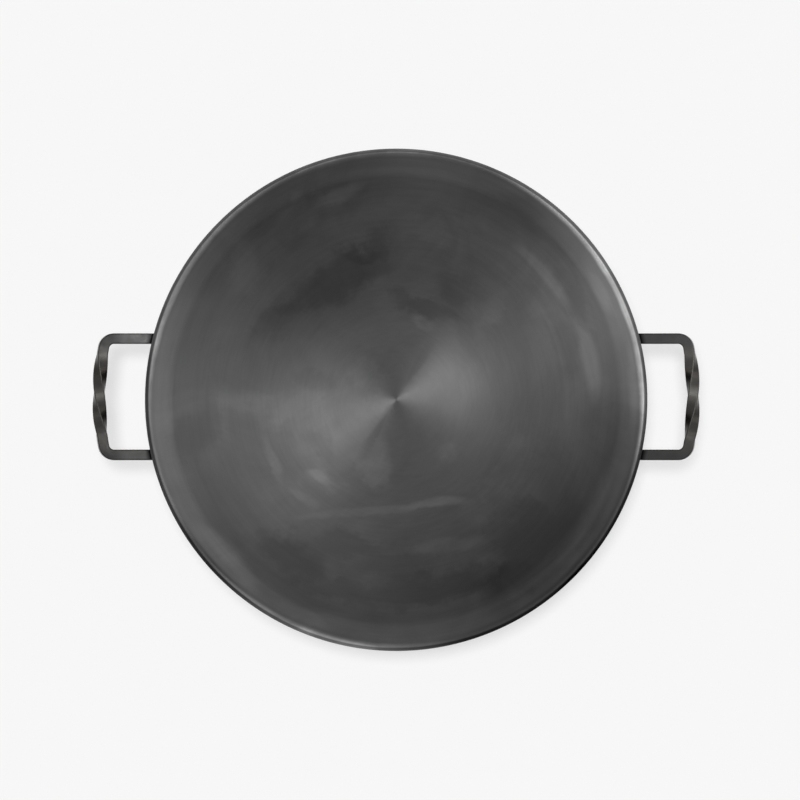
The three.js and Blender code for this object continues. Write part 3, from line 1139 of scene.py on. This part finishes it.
def add_lights(level, lights, share_of):
    """A base level with each light added to it."""
    for bearing, sharpness, strength in lights.values():
        level = maths(sky, "ADD", level, maths(sky, "MULTIPLY", share_of(bearing, sharpness), strength))
    return level


dome = add_lights(DOME_LEVEL, DOME_SIDES, dome_side)
band = add_lights(BAND_LEVEL, PATCHES, wall_patch)
up = node(sky, "SeparateXYZ", {0: toward}).outputs["Z"]
inputs = {"Value": up, 1: DOME_FROM, 2: DOME_FULL, 3: 0.0, 4: 1.0}
is_dome = node(sky, "MapRange", inputs, interpolation_type="SMOOTHSTEP").outputs["Result"]
level = mixed(sky, seen_directly(sky), FLOOR_SKY, mixed(sky, is_dome, band, dome))
sky.links.new(level, sky.nodes["Background"].inputs["Strength"])
sky.nodes["Background"].inputs["Color"].default_value = WHITE
print(f"studio: {len(DOME_SIDES)} bright sides of the dome and {len(PATCHES)} patches on the walls")

# %% [markdown]
# Three softboxes hang over the table. The fans on the turned base are their reflections, drawn out
# across the rings. The boxes meet along one bearing, and that gives the fans their clear sides. They
# light the metal and not the floor.

# %% Softboxes over the table
BOX_HEIGHT = 2.5  # metres
BOX_BEARING = math.radians(51)
# Reach along and across the bearing, as shares of the height, and brightness.
SOFTBOXES = {
    "middle_box": ((0.0, 0.35), (0.0, 0.15), 6.1),
    "right_box": ((0.15, 0.55), (0.15, 0.5), 2.0),
    "left_box": ((-0.4, 0.0), (-0.3, 0.0), 1.0),
}


def softbox(name, reach_along, reach_across, radiance):
    """A flat soft lamp that hangs over the table and looks straight down."""
    lamp = bpy.data.lights.new(name, "AREA")
    lamp.shape = "RECTANGLE"
    lamp.size = (reach_along[1] - reach_along[0]) * BOX_HEIGHT
    lamp.size_y = (reach_across[1] - reach_across[0]) * BOX_HEIGHT
    lamp.energy = radiance * math.pi * lamp.size * lamp.size_y
    holder = bpy.data.objects.new(name, lamp)
    bpy.context.scene.collection.objects.link(holder)
    middle = Vector((sum(reach_along) / 2, -sum(reach_across) / 2, 1)) * BOX_HEIGHT
    middle.rotate(Euler((0, 0, BOX_BEARING)))
    holder.location = middle
    holder.rotation_euler = (0, 0, BOX_BEARING)
    holder.visible_diffuse = False
    print(f"{name}: {lamp.size:.2f} x {lamp.size_y:.2f} m, {lamp.energy:.1f} W")


for name, settings in SOFTBOXES.items():
    softbox(name, *settings)

# %% [markdown]
# The shadow hugs the wok on all sides, and a little more of it shows at the front and on the right. A
# sun nearly overhead, with a broad disc, throws it. The metal doesn't mirror this sun.

# %% Overhead sun for the shadow
SUN_STRENGTH = 3.0
SUN_DISC = math.radians(10.5)
SUN_TO_FRONT = math.radians(-4.1)
SUN_TO_RIGHT = math.radians(-1.8)

sun = bpy.data.lights.new("overhead", "SUN")
sun.energy = SUN_STRENGTH
sun.angle = SUN_DISC
overhead = bpy.data.objects.new("overhead", sun)
overhead.rotation_euler = (SUN_TO_FRONT, SUN_TO_RIGHT, 0)
overhead.visible_glossy = False
bpy.context.scene.collection.objects.link(overhead)
print(f"sun: a disc of {math.degrees(sun.angle):.1f} degrees")

# %% [markdown]
# The camera looks straight down with a long lens from five metres above the lip, so that the handles
# and the shadow are hardly spread by perspective.

# %% Camera
CAMERA_DISTANCE = 5000
VIEW_WIDTH = 604.6
SENSOR = 36
AIM = Vector((2.9, -0.15, BOWL_HEIGHT))

eye = bpy.data.cameras.new("camera")
eye.sensor_width = SENSOR
eye.lens = SENSOR * CAMERA_DISTANCE / VIEW_WIDTH
camera = bpy.data.objects.new("camera", eye)
camera.location = (AIM + Vector((0, 0, CAMERA_DISTANCE))) * MM
bpy.context.scene.collection.objects.link(camera)
bpy.context.scene.camera = camera
bpy.context.scene.view_settings.view_transform = "Standard"
print(f"camera: a {eye.lens:.0f} mm lens, {CAMERA_DISTANCE * MM:.0f} m above the lip")
